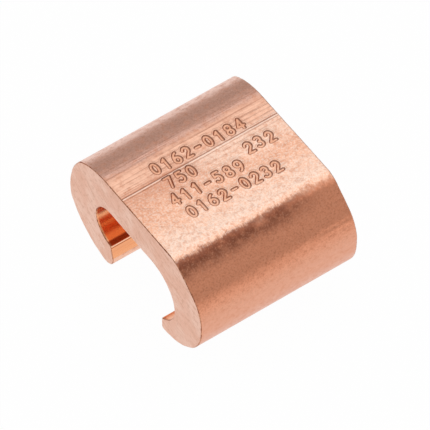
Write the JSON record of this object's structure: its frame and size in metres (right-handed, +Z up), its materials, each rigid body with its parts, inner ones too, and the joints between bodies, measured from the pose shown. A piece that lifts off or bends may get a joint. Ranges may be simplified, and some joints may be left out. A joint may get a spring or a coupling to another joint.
{
  "type": "c-tap connector",
  "caption": "C-shaped copper compression tap: a short drawn bar with a large run groove, a small tap groove and a mouth between two lips.",
  "frame": {"origin": "middle of the bar's footprint, on the surface that the lobes stand on", "axes": "+X across the section from the tap groove to the run groove, +Y along the bar and both grooves, +Z up from the mouth to the flat web"},
  "size_m": [0.023, 0.019, 0.0137],
  "materials": {
    "copper": "drawn soft copper, satin with fine draw lines, matt sawn ends"
  },
  "bodies": {
    "root": {"connector_body": "copper"}
  },
  "joints": []
}
